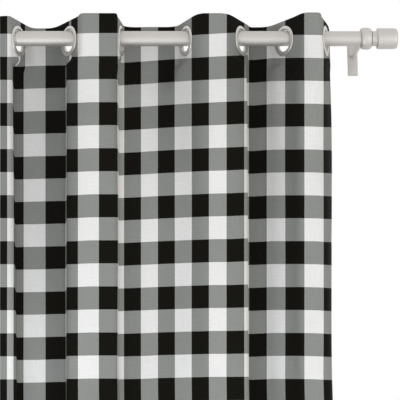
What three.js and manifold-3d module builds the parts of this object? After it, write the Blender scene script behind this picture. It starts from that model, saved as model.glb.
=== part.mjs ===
// An eyelet blackout curtain hanging in waves on its metal rod, with the rod's end caps and wall brackets.
// Units are millimetres and +Z is up. X runs along the rod, and -Y points into the room. The origin lies on
// the wall, midway between the brackets and level with the rod's axis.
import * as THREE from "three";
import { mergeVertices } from "three/addons/utils/BufferGeometryUtils.js";
import Module from "manifold-3d";

const wasm = await Module();
wasm.setup();

// Driving dimensions

// GAP is the clearance between any two pieces, and REACH is the distance from the wall to the rod's axis.
const GAP = 0.3;
const REACH = 110;

const ROD_RADIUS = 12.7;
const ROD_WALL = 1.2;
const ROD_END = 386.7;
const ROD_SIDES = 32;

const SHEET = 1.4;
const HEM_SHEET = 2.4;
const HEADING_TOP = 31;
const HEADING_FOOT = -34;
const HEM_TOP = -1722;
const HEM = -1799;
const SIDE_MARGIN = 80;
const SIDE_HEM = 25;

const EYELET_BORE = 18;
const EYELET_RIM = 26;
const EYELET_HALF_DEPTH = 3.3;
const EYELET_BARREL = 19.6;
const EYELET_HOLE = 20;
const EYELET_SIDES = 22;
// Eyelets hang on the rod, so their centres lie this far below its axis.
const EYELET_DROP = 4.2;
const HOLE_SIDES = 20;
const HOLE_CUT = 8;

// The domed face of an eyelet, by how far each place lies behind the foremost one and outside the bore.
const EYELET_DOME = [
  { behind: 1.3, outside: 0 },
  { behind: 0.2, outside: 1.4 },
  { behind: 0, outside: 4 },
  { behind: 1, outside: 7.5 },
];

// Profiles turned about the rod's axis. Each x is measured from the middle of the rod.
const PLUG_RADIUS = ROD_RADIUS - ROD_WALL - GAP;
const CAP_START = ROD_END + GAP;
const CAP_PROFILE = [
  { x: 366, radius: 0 },
  { x: 366, radius: PLUG_RADIUS - 1 },
  { x: 367, radius: PLUG_RADIUS },
  { x: CAP_START, radius: PLUG_RADIUS },
  { x: CAP_START, radius: 13.4 },
  { x: 388.2, radius: 12.7 },
  { x: 394.4, radius: 12.7 },
  { x: 396, radius: 14 },
  { x: 396, radius: 16.9 },
  { x: 397, radius: 17.7 },
  { x: 425, radius: 17.5 },
  { x: 428.6, radius: 16.4 },
  { x: 430, radius: 14.2 },
  { x: 430.5, radius: 10.8 },
  { x: 430.5, radius: 0 },
];
const HOLDER_BORE = ROD_RADIUS + GAP;
const HOLDER_PROFILE = [
  { x: 368.1, radius: HOLDER_BORE },
  { x: 368.1, radius: 16.2 },
  { x: 368.9, radius: 17 },
  { x: 371.8, radius: 18.2 },
  { x: 376.8, radius: 18.6 },
  { x: 381.8, radius: 18.2 },
  { x: 384.7, radius: 17 },
  { x: 385.5, radius: 16.2 },
  { x: 385.5, radius: HOLDER_BORE },
  { x: 368.1, radius: HOLDER_BORE },
];
const TURNED_SIDES = 22;

const ARM_X = 369.2;
const ARM_RADIUS = 6.6;
const ARM_INTO_HOLDER = 3;
const ARM_SIDES = 16;
const PLATE = { width: 17, height: 74, depth: 9, corner: 2.2, edge: 1.2 };

// How the cloth hangs

// A section is a level cut through the hanging cloth, at one of these heights.
const SECTIONS = { heading: HEADING_FOOT, collar: -50, upper: -92, middle: -345, low: -590, hem: HEM };

// The crests stay as they are from the heading to the collar, just under it, where the walls have already swung.
const AT_TOP = ["heading", "collar"];

// A wall is the side of a wave, and each wall holds one eyelet. Its middle lies at x along the rod, and it
// stands turn degrees off square to the rod. The eyelet holds it at the heading, and below that it swings to
// upperX and upperTurn, which it reaches at the collar.
const WALLS = [
  { x: -331, turn: 24, upperX: -323, upperTurn: 12, lowX: -318, lowTurn: 6, hemX: -316, hemTurn: 12 },
  { x: -209, turn: 25, upperX: -218.2, upperTurn: 2, lowX: -213.5, lowTurn: 0, hemX: -211, hemTurn: 6 },
  { x: -123, turn: 28, upperX: -128.4, upperTurn: 0, lowX: -132.3, lowTurn: 0, hemX: -132, hemTurn: 7 },
  { x: -38, turn: 12, upperX: -44, upperTurn: 3, lowX: -50, lowTurn: 4, hemX: -46, hemTurn: 12 },
  { x: 73, turn: 20, upperX: 69, upperTurn: 34, lowX: 62, lowTurn: 60, hemX: 60, hemTurn: 40 },
  { x: 165, turn: 29, upperX: 171, upperTurn: 2, lowX: 161.8, lowTurn: 2, hemX: 158, hemTurn: 6 },
  { x: 239, turn: 30, upperX: 234, upperTurn: 38, lowX: 224, lowTurn: 54, hemX: 222, hemTurn: 44 },
  { x: 307.5, turn: 18, upperX: 310.5, upperTurn: 16, lowX: 299, lowTurn: 14, hemX: 300, hemTurn: 14 },
];

// A wave runs from one wall to the next and has a straight crest. The cloth from one eyelet to the next is as
// long as between says. At the heading the crest runs from one x to the other, and the length of cloth decides
// how far it stands out. Below, share says how far along the way between the walls it lies. It stands in front
// of the rod's axis by the numbers given, or behind it where they are negative.
const WAVES = [
  { side: 1, between: 158, from: -290, to: -250, share: 0.5, upper: 30, middle: 32, low: 14, hem: 25 },
  { side: -1, between: 139, from: -175, to: -163, share: 0.5, upper: -45, middle: -26, low: -16, hem: -26 },
  { side: 1, between: 152, from: -98, to: -51, share: 0.5, upper: 46, middle: 38, low: 27, hem: 34 },
  { side: -1, between: 162, from: 16, to: 40, share: 0.45, upper: -30, middle: -4, low: 6, hem: -20 },
  { side: 1, between: 145, from: 104, to: 124, share: 0.45, upper: 47, middle: 48, low: 48, hem: 40 },
  { side: -1, between: 118, from: 190, to: 198, share: 0.3, upper: -33, middle: -26, low: -20, hem: -24 },
  { side: 1, between: 135, from: 276, to: 286, share: 0.46, upper: 52, middle: 40, low: 30, hem: 30 },
];
const CREST_HALF_BELOW = 4;
const FLAP_CURL = 8;

// A wall stays flat for this far on each side of its middle: past the rim at the eyelet, and less below it.
const FLAT_HALF_AT_EYELET = EYELET_RIM + 1;
const FLAT_HALF_BELOW = 10;

// How far a bend runs on in its first direction, as a share of the distance it covers.
const BEND_HANDLE = 0.39;

// The crests at the heading lie between these distances from the rod's axis.
const LEAST_CREST = 25;
const MOST_CREST = 80;
const CREST_TRIALS = 30;

// How finely the cloth's surface is divided
const WAVE_STEPS = 5;
const FLAP_STEPS = 3;
const ROWS = [
  HEADING_TOP, HEADING_FOOT, -38, -42, -46, -50, -64, -78, -92, -125, -165, -240, -345, -460, -590,
  -760, -960, -1180, -1420, HEM_TOP, HEM_TOP - 3, HEM,
];

// Materials

const cloth = new THREE.MeshStandardMaterial({ color: 0x85857f, roughness: 0.92, metalness: 0 });
const satinMetal = new THREE.MeshStandardMaterial({ color: 0xcfc9c4, roughness: 0.38, metalness: 0.85 });
const eyeletMetal = new THREE.MeshStandardMaterial({ color: 0xc9c8c3, roughness: 0.3, metalness: 0.9 });

// Solids

function solidOf(geometry) {
  const bare = geometry.index ? geometry.toNonIndexed() : geometry.clone();
  bare.deleteAttribute("normal");
  bare.deleteAttribute("uv");
  const merged = mergeVertices(bare, 1e-3);
  return new wasm.Manifold(
    new wasm.Mesh({
      numProp: 3,
      vertProperties: new Float32Array(merged.attributes.position.array),
      triVerts: new Uint32Array(merged.index.array),
    }),
  );
}

function geometryOf(solid) {
  const mesh = solid.getMesh();
  const geometry = new THREE.BufferGeometry();
  geometry.setAttribute("position", new THREE.BufferAttribute(mesh.vertProperties, 3));
  geometry.setIndex(new THREE.BufferAttribute(mesh.triVerts, 1));
  geometry.computeVertexNormals();
  return geometry;
}

// A body turned about the X axis, from a profile of places that each have an x and a radius.
function turned(profile, sides) {
  const points = profile.map(({ x, radius }) => new THREE.Vector2(radius, x));
  return new THREE.LatheGeometry(points, sides).rotateZ(-Math.PI / 2);
}

// The plan of the cloth at one section

// Every place in a plan is a vector of x along the rod and the distance in front of the rod's axis.
function toRoom(i) {
  return i % 2 === 0 ? 1 : -1;
}

function wallDirection(i, turn) {
  const angle = THREE.MathUtils.degToRad(turn);
  return new THREE.Vector2(Math.sin(angle), toRoom(i) * Math.cos(angle));
}

function wallAt(i, section) {
  const row = WALLS[i];
  const before = WAVES[Math.max(i - 1, 0)];
  const after = WAVES[Math.min(i, WAVES.length - 1)];
  const place = {
    heading: () => [row.x, row.turn],
    collar: () => [row.upperX, row.upperTurn],
    upper: () => [row.upperX, row.upperTurn],
    middle: () => [(row.upperX + row.lowX) / 2, (row.upperTurn + row.lowTurn) / 2],
    low: () => [row.lowX, row.lowTurn],
    hem: () => [row.hemX, row.hemTurn],
  };
  const [x, turn] = place[section]();
  const inner = i > 0 && i < WALLS.length - 1;
  const d = AT_TOP.includes(section) || !inner ? 0 : (before[section] + after[section]) / 2;
  return { centre: new THREE.Vector2(x, d), along: wallDirection(i, turn), turn };
}

function flatHalf(section) {
  return section === "heading" ? FLAT_HALF_AT_EYELET : FLAT_HALF_BELOW;
}

// A smooth bend from one place to another, leaving and arriving in the given directions.
function bend(from, leaving, to, arriving) {
  const handle = BEND_HANDLE * from.distanceTo(to);
  return new THREE.CubicBezierCurve(
    from,
    from.clone().addScaledVector(leaving, handle),
    to.clone().addScaledVector(arriving, -handle),
    to,
  );
}

const ALONG_ROD = new THREE.Vector2(1, 0);

function pathOf(curves) {
  const path = new THREE.CurvePath();
  path.curves = curves;
  return path;
}

function crestEnds(i, section, crest) {
  const row = WAVES[i];
  const [left, right] = [wallAt(i, section), wallAt(i + 1, section)];
  const middle = THREE.MathUtils.lerp(left.centre.x, right.centre.x, row.share);
  const atTop = AT_TOP.includes(section);
  return [
    new THREE.Vector2(atTop ? row.from : middle - CREST_HALF_BELOW, crest),
    new THREE.Vector2(atTop ? row.to : middle + CREST_HALF_BELOW, crest),
  ];
}

// The cloth from the middle of one wall to the middle of the next.
function wavePath(i, section, crest) {
  const left = wallAt(i, section);
  const right = wallAt(i + 1, section);
  const half = flatHalf(section);
  const start = left.centre.clone().addScaledVector(left.along, half);
  const end = right.centre.clone().addScaledVector(right.along, -half);
  const [near, far] = crestEnds(i, section, crest);
  return pathOf([
    new THREE.LineCurve(left.centre, start),
    bend(start, left.along, near, ALONG_ROD),
    new THREE.LineCurve(near, far),
    bend(far, ALONG_ROD, end, right.along),
    new THREE.LineCurve(end, right.centre),
  ]);
}

// Moves the crest out until the cloth between the two eyelets has its full length.
function headingCrest(i) {
  let near = LEAST_CREST;
  let far = MOST_CREST;
  for (let trial = 0; trial < CREST_TRIALS; trial += 1) {
    const tried = (near + far) / 2;
    if (wavePath(i, "heading", WAVES[i].side * tried).getLength() < WAVES[i].between) near = tried;
    else far = tried;
  }
  return WAVES[i].side * near;
}

function crestAt(i, section) {
  return AT_TOP.includes(section) ? headingCrest(i) : WAVES[i][section];
}

// The loose edge beyond an outer eyelet, which curls away a little. side is -1 at the left, 1 at the right.
function flapPath(section, side) {
  const wall = wallAt(side < 0 ? 0 : WALLS.length - 1, section);
  const out = wallDirection(side < 0 ? 0 : WALLS.length - 1, wall.turn - FLAP_CURL);
  const near = wall.centre.clone().addScaledVector(wall.along, side * flatHalf(section));
  const far = near.clone().addScaledVector(out, side * (SIDE_MARGIN - flatHalf(section)));
  return side < 0
    ? pathOf([bend(far, out, near, wall.along), new THREE.LineCurve(near, wall.centre)])
    : pathOf([new THREE.LineCurve(wall.centre, near), bend(near, wall.along, far, out)]);
}

function evenly(from, to, steps) {
  return Array.from({ length: steps + 1 }, (_, n) => THREE.MathUtils.lerp(from, to, n / steps));
}

// Shares of a path's length, in even steps along each of its bends. They come from the heading and hold at
// every section, so each thread of the cloth hangs straight down.
function sharesOf(path, steps) {
  const ends = [0, ...path.getCurveLengths()];
  return path.curves.flatMap((curve, k) =>
    curve instanceof THREE.CubicBezierCurve
      ? evenly(ends[k], ends[k + 1], steps).map((length) => length / ends.at(-1))
      : [],
  );
}

const pathsAt = (section) => [
  flapPath(section, -1),
  ...WAVES.map((wave, i) => wavePath(i, section, crestAt(i, section))),
  flapPath(section, 1),
];
const shares = pathsAt("heading").map((path, i) =>
  sharesOf(path, i === 0 || i > WAVES.length ? FLAP_STEPS : WAVE_STEPS),
);

function planOf(section) {
  return pathsAt(section).flatMap((path, i) => shares[i].map((share) => path.getPoint(share)));
}

// Between the sections every point of the plan runs on smoothly and never swings past its neighbours.
const sectionNames = Object.keys(SECTIONS);
const heights = Object.values(SECTIONS);
const plans = sectionNames.map(planOf);

// The slopes of a smooth run through values at the section heights.
function steadySlopes(values) {
  const steps = heights.slice(1).map((z, k) => z - heights[k]);
  const rates = steps.map((step, k) => (values[k + 1] - values[k]) / step);
  const inner = rates.slice(1).map((rate, k) => {
    if (rate * rates[k] <= 0) return 0;
    const near = 2 * steps[k + 1] + steps[k];
    const far = steps[k + 1] + 2 * steps[k];
    return (near + far) / (near / rates[k] + far / rate);
  });
  return [0, ...inner, rates[rates.length - 1]];
}

const plansBySection = ["x", "y"].map((axis) =>
  plans[0].map((_, i) => {
    const values = plans.map((points) => points[i][axis]);
    return { values, slopes: steadySlopes(values) };
  }),
);

function valueAt({ values, slopes }, z) {
  const k = Math.max(0, heights.findLastIndex((height) => height >= z && height > HEM));
  const step = heights[k + 1] - heights[k];
  const t = Math.max(0, (z - heights[k]) / step);
  const rest = 1 - t;
  return (
    values[k] * rest * rest * (1 + 2 * t) +
    values[k + 1] * t * t * (3 - 2 * t) +
    step * t * rest * (slopes[k] * rest - slopes[k + 1] * t)
  );
}

function planAt(z) {
  const [xs, ds] = plansBySection;
  return xs.map((x, i) => new THREE.Vector2(valueAt(x, z), valueAt(ds[i], z)));
}

// The cloth, with its side hems and bottom hem

function thicknessAt(i, z, points) {
  const end = points[i < points.length / 2 ? 0 : points.length - 1];
  const inSideHem = points[i].distanceTo(end) < SIDE_HEM && Math.min(i, points.length - 1 - i) < FLAP_STEPS;
  return z < HEM_TOP || inSideHem ? HEM_SHEET : SHEET;
}

// The two faces' points in one row, room side first.
function rowOf(z) {
  const points = planAt(z);
  return points.map((point, i) => {
    const before = points[Math.max(i - 1, 0)];
    const after = points[Math.min(i + 1, points.length - 1)];
    const along = after.clone().sub(before).normalize();
    const outward = new THREE.Vector2(-along.y, along.x).multiplyScalar(thicknessAt(i, z, points) / 2);
    return [1, -1].map((face) => {
      const place = point.clone().addScaledVector(outward, face);
      return new THREE.Vector3(place.x, -REACH - place.y, z);
    });
  });
}

function clothGeometry() {
  const grid = ROWS.map(rowOf);
  const columns = grid[0].length;
  const positions = [];
  const quad = (a, b, c, d) => [a, b, c, a, c, d].forEach((p) => positions.push(p.x, p.y, p.z));
  for (let r = 0; r + 1 < grid.length; r += 1) {
    const upper = grid[r];
    const lower = grid[r + 1];
    for (let c = 0; c + 1 < columns; c += 1) {
      const front = [lower[c][0], lower[c + 1][0], upper[c + 1][0], upper[c][0]];
      const back = [lower[c][1], upper[c][1], upper[c + 1][1], lower[c + 1][1]];
      // Both faces of a cell are split along the front's shorter diagonal.
      const asListed = front[0].distanceTo(front[2]) < front[1].distanceTo(front[3]);
      for (const [a, b, d, e] of [front, back]) {
        if (asListed) quad(a, b, d, e);
        else quad(b, d, e, a);
      }
    }
    const end = columns - 1;
    quad(lower[0][1], lower[0][0], upper[0][0], upper[0][1]);
    quad(lower[end][0], lower[end][1], upper[end][1], upper[end][0]);
  }
  const top = grid[0];
  const foot = grid[grid.length - 1];
  for (let c = 0; c + 1 < columns; c += 1) {
    quad(top[c][0], top[c + 1][0], top[c + 1][1], top[c][1]);
    quad(foot[c][1], foot[c + 1][1], foot[c + 1][0], foot[c][0]);
  }
  const geometry = new THREE.BufferGeometry();
  geometry.setAttribute("position", new THREE.Float32BufferAttribute(positions, 3));
  return geometry;
}

function placeAtEyelet(object, i) {
  object.position.set(WALLS[i].x, -REACH, -EYELET_DROP);
  object.rotation.z = toRoom(i) * THREE.MathUtils.degToRad(WALLS[i].turn);
  object.updateMatrix();
}

function clothWithHoles() {
  let solid = solidOf(clothGeometry());
  const profile = [
    { x: -HOLE_CUT, radius: 0 },
    { x: -HOLE_CUT, radius: EYELET_HOLE },
    { x: HOLE_CUT, radius: EYELET_HOLE },
    { x: HOLE_CUT, radius: 0 },
  ];
  WALLS.forEach((wall, i) => {
    const cutter = new THREE.Mesh(turned(profile, HOLE_SIDES));
    placeAtEyelet(cutter, i);
    solid = solid.subtract(solidOf(cutter.geometry.applyMatrix4(cutter.matrix)));
  });
  return geometryOf(solid);
}

// A metal eyelet pressed together round the hole, with a groove that holds the cloth.
function eyeletGeometry() {
  const groove = SHEET / 2 + GAP;
  const dome = EYELET_DOME.map(({ behind, outside }) => ({
    x: EYELET_HALF_DEPTH - behind,
    radius: EYELET_BORE + outside,
  }));
  const right = [...dome, { x: groove, radius: EYELET_RIM }, { x: groove, radius: EYELET_BARREL }];
  const left = right.map(({ x, radius }) => ({ x: -x, radius }));
  return turned([...left, ...right.reverse(), left[0]], EYELET_SIDES);
}

// The rod, its end caps and its brackets. Each is made for the right end and mirrored for the left.

function rodGeometry() {
  const inner = ROD_RADIUS - ROD_WALL;
  const profile = [
    { x: -ROD_END, radius: inner },
    { x: -ROD_END, radius: ROD_RADIUS },
    { x: ROD_END, radius: ROD_RADIUS },
    { x: ROD_END, radius: inner },
    { x: -ROD_END, radius: inner },
  ];
  return turned(profile, ROD_SIDES);
}

// The ring that the rod passes through, an arm back to the wall, and the plate that stands on the wall.
function bracketGeometry() {
  const ring = turned(HOLDER_PROFILE, TURNED_SIDES).translate(0, -REACH, 0);
  const armBack = -PLATE.depth / 2;
  const armFront = -REACH + HOLDER_BORE + ARM_INTO_HOLDER;
  const arm = new THREE.CylinderGeometry(ARM_RADIUS, ARM_RADIUS, armBack - armFront, ARM_SIDES);
  arm.translate(ARM_X, (armBack + armFront) / 2, 0);

  const halfWidth = PLATE.width / 2 - PLATE.edge;
  const halfHeight = PLATE.height / 2 - PLATE.edge;
  const corner = PLATE.corner - PLATE.edge;
  const outline = new THREE.Shape();
  outline.absarc(halfWidth - corner, halfHeight - corner, corner, 0, Math.PI / 2);
  outline.absarc(corner - halfWidth, halfHeight - corner, corner, Math.PI / 2, Math.PI);
  outline.absarc(corner - halfWidth, corner - halfHeight, corner, Math.PI, 1.5 * Math.PI);
  outline.absarc(halfWidth - corner, corner - halfHeight, corner, 1.5 * Math.PI, 2 * Math.PI);
  outline.closePath();
  const plate = new THREE.ExtrudeGeometry(outline, {
    depth: PLATE.depth - 2 * PLATE.edge,
    bevelThickness: PLATE.edge,
    bevelSize: PLATE.edge,
    bevelSegments: 2,
    curveSegments: 3,
  });
  plate.rotateX(Math.PI / 2).translate(ARM_X, -PLATE.edge, 0);
  return geometryOf(solidOf(plate).add(solidOf(arm)).add(solidOf(ring)));
}

// Assembly

export const curtain = new THREE.Group();

function addMesh(name, geometry, material) {
  const mesh = new THREE.Mesh(geometry, material);
  mesh.name = name;
  curtain.add(mesh);
  return mesh;
}

addMesh("cloth", clothWithHoles(), cloth);
WALLS.forEach((wall, i) => placeAtEyelet(addMesh(`eyelet_${i + 1}`, eyeletGeometry(), eyeletMetal), i));
addMesh("rod", rodGeometry(), satinMetal).position.y = -REACH;
for (const [side, mirror] of [["right", 1], ["left", -1]]) {
  const cap = addMesh(`end_cap_${side}`, turned(CAP_PROFILE, TURNED_SIDES), satinMetal);
  cap.position.y = -REACH;
  cap.scale.x = mirror;
  addMesh(`bracket_${side}`, bracketGeometry(), satinMetal).scale.x = mirror;
}

export default curtain;
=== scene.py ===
"""An eyelet blackout curtain in a woven check, hanging in waves on a satin metal rod with caps and brackets.

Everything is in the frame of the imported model: X runs along the rod, -Y points into the room, +Z is up, and
the origin lies on the wall, midway between the brackets and level with the rod's axis. The sizes below are in
millimetres, and the meshes are in metres.
"""
import math

import bmesh
import bpy
import numpy as np
from mathutils import Matrix, Vector


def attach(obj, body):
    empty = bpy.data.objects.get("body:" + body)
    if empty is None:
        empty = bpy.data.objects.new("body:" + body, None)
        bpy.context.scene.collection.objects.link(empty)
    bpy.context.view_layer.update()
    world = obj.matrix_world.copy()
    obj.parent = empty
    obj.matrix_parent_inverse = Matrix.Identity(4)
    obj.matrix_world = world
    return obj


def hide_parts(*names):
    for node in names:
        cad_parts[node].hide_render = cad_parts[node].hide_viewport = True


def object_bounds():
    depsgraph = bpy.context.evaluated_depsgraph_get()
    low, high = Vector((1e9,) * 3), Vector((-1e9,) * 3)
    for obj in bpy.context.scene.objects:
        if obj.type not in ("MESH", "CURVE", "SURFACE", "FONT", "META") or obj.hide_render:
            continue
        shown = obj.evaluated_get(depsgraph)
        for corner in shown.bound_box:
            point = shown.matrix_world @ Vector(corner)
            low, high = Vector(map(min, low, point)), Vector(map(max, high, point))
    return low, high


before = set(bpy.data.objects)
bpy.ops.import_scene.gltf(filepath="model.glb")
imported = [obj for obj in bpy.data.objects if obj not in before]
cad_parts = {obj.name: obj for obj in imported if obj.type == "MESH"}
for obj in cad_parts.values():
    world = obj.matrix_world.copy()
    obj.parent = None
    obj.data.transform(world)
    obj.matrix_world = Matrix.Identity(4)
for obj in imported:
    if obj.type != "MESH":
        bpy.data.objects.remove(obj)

bl_info = {
    "name": "Eyelet Curtain",
    "version": (1, 0, 0),
    "blender": (4, 5, 0),
    "location": "View3D > Sidebar > Curtain",
    "description": "Builds an eyelet curtain in a woven check on a rod, with its caps, brackets and studio",
    "category": "Add Mesh",
}

MM = 0.001
CAD_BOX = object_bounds()

# Sizes of the cloth

REACH = 110
SIDE_MARGIN = 80
SIDE_HEM = 25
HEADING_TOP = 31
HEADING_FOOT = -34
HEM_TOP = -1722
HEM = -1799
SHEET = 1.4
HEM_SHEET = 2.4
# The hems' edges step down over this much cloth, and the cut edges are rounded within a narrow border
HEM_STEP = 3
SIDE_HEM_STEP = 1.5
CUT_BORDER = 0.6
CUT_SHARE = 0.72
SEAM_FROM_SIDE = 22
SEAM_Z = HEM_TOP - 6

# Sizes of the rod, the eyelets and the brackets

ROD_RADIUS = 12.7
ROD_WALL = 1.2
ROD_END = 386.7
GAP = 0.3

EYELET_BORE = 18
EYELET_RIM = 26
EYELET_HALF_DEPTH = 3.3
EYELET_BARREL = 19.6
EYELET_HOLE = 20
EYELET_CENTRE = -4.2
HOLE_CUT = 16

ARM_X = 369.2
ARM_RADIUS = 6.6
PLATE_WIDTH = 17
PLATE_HEIGHT = 74
PLATE_DEPTH = 9

# Level sections through the hanging cloth, by their heights. The collar lies just under the heading: there the
# crests are still as they are at the top, and the walls between them have already swung.

SECTIONS = {"heading": HEADING_FOOT, "collar": -50, "upper": -92, "middle": -345, "low": -590, "hem": HEM}
AT_TOP = ("heading", "collar")
# A wall is the side of a wave and holds one eyelet: its x and turn at the heading, then at the collar and the
# upper section, at the low section and at the hem
WALLS = [
    (-331, 24, -323, 12, -318, 6, -316, 12),
    (-209, 25, -218.2, 2, -213.5, 0, -211, 6),
    (-123, 28, -128.4, 0, -132.3, 0, -132, 7),
    (-38, 12, -44, 3, -50, 4, -46, 12),
    (73, 20, 69, 34, 62, 60, 60, 40),
    (165, 29, 171, 2, 161.8, 2, 158, 6),
    (239, 30, 234, 38, 224, 54, 222, 44),
    (307.5, 18, 310.5, 16, 299, 14, 300, 14),
]
# A wave runs from one wall to the next: its side, the length of cloth between the eyelets, the ends of its
# crest at the heading, the crest's share of the way below that, and how far it stands out at the upper, middle,
# low and hem sections
WAVES = [
    (1, 158, -290, -250, 0.5, 30, 32, 14, 25),
    (-1, 139, -175, -163, 0.5, -45, -26, -16, -26),
    (1, 152, -98, -51, 0.5, 46, 38, 27, 34),
    (-1, 162, 16, 40, 0.45, -30, -4, 6, -20),
    (1, 145, 104, 124, 0.45, 47, 48, 48, 40),
    (-1, 118, 190, 198, 0.3, -33, -26, -20, -24),
    (1, 135, 276, 286, 0.46, 52, 40, 30, 30),
]
CREST_HALF_BELOW = 4
LEAST_CREST = 25.0
MOST_CREST = 80.0
CREST_TRIALS = 30
FLAP_CURL = 8
FLAT_HALF_AT_EYELET = EYELET_RIM + 1
FLAT_HALF_BELOW = 10
BEND_HANDLE = 0.39

# How finely the cloth is divided: columns in each part of a wave, and rows as top, foot and distance apart

WAVE_STEPS = 14
CREST_STEPS = 4
PATCH_STEPS = 3
FLAP_STEPS = 9
ROW_SPANS = [
    (HEADING_TOP, HEADING_FOOT, 6), (HEADING_FOOT, -50, 2), (-50, -120, 5), (-120, -345, 10),
    (-345, -600, 16), (-600, HEM_TOP, 28), (HEM_TOP, HEM_TOP - HEM_STEP, 1.5), (HEM_TOP - HEM_STEP, HEM, 12),
]

# The camera that sees the curtain as it is pictured

CAMERA_PLACE = (-170.0, -3510.0, -930.0)
CAMERA_AIM = (90.383, -110.0, -276.099)
CAMERA_ROLL = -1.158
FRAME_SIZE = 400
FOCAL_PIXELS = 2097.008
SENSOR = 36.0

# Where the check's columns end in the picture, across each stretch of cloth that the camera sees. A column is
# counted in checks from the panel's left, and an odd one is dark.

CHECK = 38.1
COLUMN_PLACES = {
    "left_fold": [(-6.0, -2.0), (0.0, -1.0), (7.0, 0.0), (13.5, 1.05)],
    "back_fold": [(13.5, 1.55), (23.5, 2.0), (45.5, 3.0), (67.5, 3.99)],
    "front_fold": [(66.5, 5.45), (78.0, 6.0), (99.0, 7.0), (117.5, 8.0)],
    "wide_fold": [
        (117.5, 8.62), (124.0, 9.0), (141.0, 10.0), (158.0, 11.0), (175.0, 12.0), (192.0, 13.0),
        (209.0, 14.0), (226.5, 15.0), (244.0, 16.0), (248.5, 16.26),
    ],
    "right_fold": [(249.5, 17.05), (267.0, 18.0), (285.5, 19.0), (304.5, 20.0), (323.4, 21.0), (332.0, 22.0)],
}
# The same at the heading, where the cloth between these folds is turned to the eyelets
HEADING_PLACES = {
    "left_fold": [(-6.0, -2.0), (0.0, -1.0), (7.0, 0.0), (20.3, 1.0), (24.4, 2.0)],
    "back_fold": [(20.3, 1.0), (24.4, 2.0), (45.5, 3.0), (70.3, 3.99)],
    "front_fold": [(70.3, 5.01), (78.0, 6.0), (99.0, 7.0), (117.5, 8.0), (118.0, 8.65), (124.0, 9.0)],
}
# How far the rows lie below those of the front fold in the picture, at three heights in it
ROW_HEIGHTS = (56.0, 240.0, 379.0)
ROW_START = 33.05
ROW_PITCH = 23.03
ROW_DROPS = {
    "left_fold": [(3.0, 0.7, 0.9, 0.8), (13.0, 0.7, 0.9, 0.8)],
    "back_fold": [(18.0, 10.8, 6.9, 4.3), (35.0, 10.0, 6.6, 4.1), (60.0, 9.4, 6.0, 3.4)],
    "front_fold": [(74.0, 0.75, 0.9, 0.36), (90.0, 0.0, 0.0, 0.0), (110.0, 0.0, 0.0, 0.0)],
    "wide_fold": [
        (120.0, 7.06, 2.8, 0.8), (145.0, 5.4, 1.7, 0.2), (162.0, 4.0, 0.9, -0.6), (186.0, 2.2, -0.2, -1.1),
        (212.0, 0.7, -1.1, -1.7), (230.0, -0.3, -1.3, -1.7), (244.0, -1.0, -2.0, -1.8),
    ],
    "right_fold": [
        (254.0, 3.9, 1.7, 1.2), (272.0, 2.1, 0.8, 0.35), (300.0, 1.6, 0.74, 0.37), (316.0, 1.85, 0.93, 0.73),
        (327.0, 2.1, 1.7, 1.35),
    ],
}
LOWEST_SEEN = -595
LEFTMOST_SEEN = -8
# The cloth counts as seen where a millimetre of it spans more than this many pixels, and nothing lies nearer
# the camera by more than the clearance
LEAST_FACING = 0.09
LEAST_FACING_RIGHT = 0.05
SEEN_CLEARANCE = 4

# The slight unevenness of hanging cloth: how many waves, and the least and greatest width and height of one

SWAY_WAVES = 9
SWAY_WIDTHS = (55, 160)
SWAY_HEIGHTS = (350, 900)


# Settings that a user would change

class CurtainSizes(bpy.types.PropertyGroup):
    """Sizes of the finished pieces."""

    check: bpy.props.FloatProperty(
        name="Check", description="Width of one check of the cloth", default=CHECK * MM, unit="LENGTH")
    softness: bpy.props.FloatProperty(
        name="Softness", description="Height of the cloth's slight unevenness", default=0.0005, unit="LENGTH")
    stitch_pitch: bpy.props.FloatProperty(
        name="Stitch Pitch", description="Distance between stitches", default=0.0036, unit="LENGTH")
    stitch_length: bpy.props.FloatProperty(
        name="Stitch Length", description="Length of one stitch", default=0.0026, unit="LENGTH")
    thread: bpy.props.FloatProperty(
        name="Thread", description="Thickness of the sewing thread", default=0.0004, unit="LENGTH")
    turned_sides: bpy.props.IntProperty(
        name="Turned Sides", description="Sides of a turned metal piece", default=96, min=16, max=256)


class CurtainFinish(bpy.types.PropertyGroup):
    """Colours and surfaces."""

    light_yarn: bpy.props.FloatVectorProperty(
        name="Light Yarn", description="Colour of the white checks", default=(0.70, 0.69, 0.672), size=3,
        subtype="COLOR", min=0, max=1)
    mixed_yarn: bpy.props.FloatVectorProperty(
        name="Mixed Yarn", description="Colour where dark and light cross", default=(0.232, 0.236, 0.222),
        size=3, subtype="COLOR", min=0, max=1)
    dark_yarn: bpy.props.FloatVectorProperty(
        name="Dark Yarn", description="Colour of the black checks", default=(0.0055, 0.005, 0.0036), size=3,
        subtype="COLOR", min=0, max=1)
    rod_metal: bpy.props.FloatVectorProperty(
        name="Rod Metal", description="Colour of the rod, caps and brackets", default=(0.60, 0.575, 0.545),
        size=3, subtype="COLOR", min=0, max=1)
    eyelet_metal: bpy.props.FloatVectorProperty(
        name="Eyelet Metal", description="Colour of the eyelets", default=(0.66, 0.64, 0.61), size=3,
        subtype="COLOR", min=0, max=1)
    rod_roughness: bpy.props.FloatProperty(
        name="Rod Roughness", description="How dull the satin metal is", default=0.52, subtype="FACTOR",
        min=0, max=1)
    eyelet_roughness: bpy.props.FloatProperty(
        name="Eyelet Roughness", description="How dull the eyelets are", default=0.34, subtype="FACTOR",
        min=0, max=1)


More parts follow.
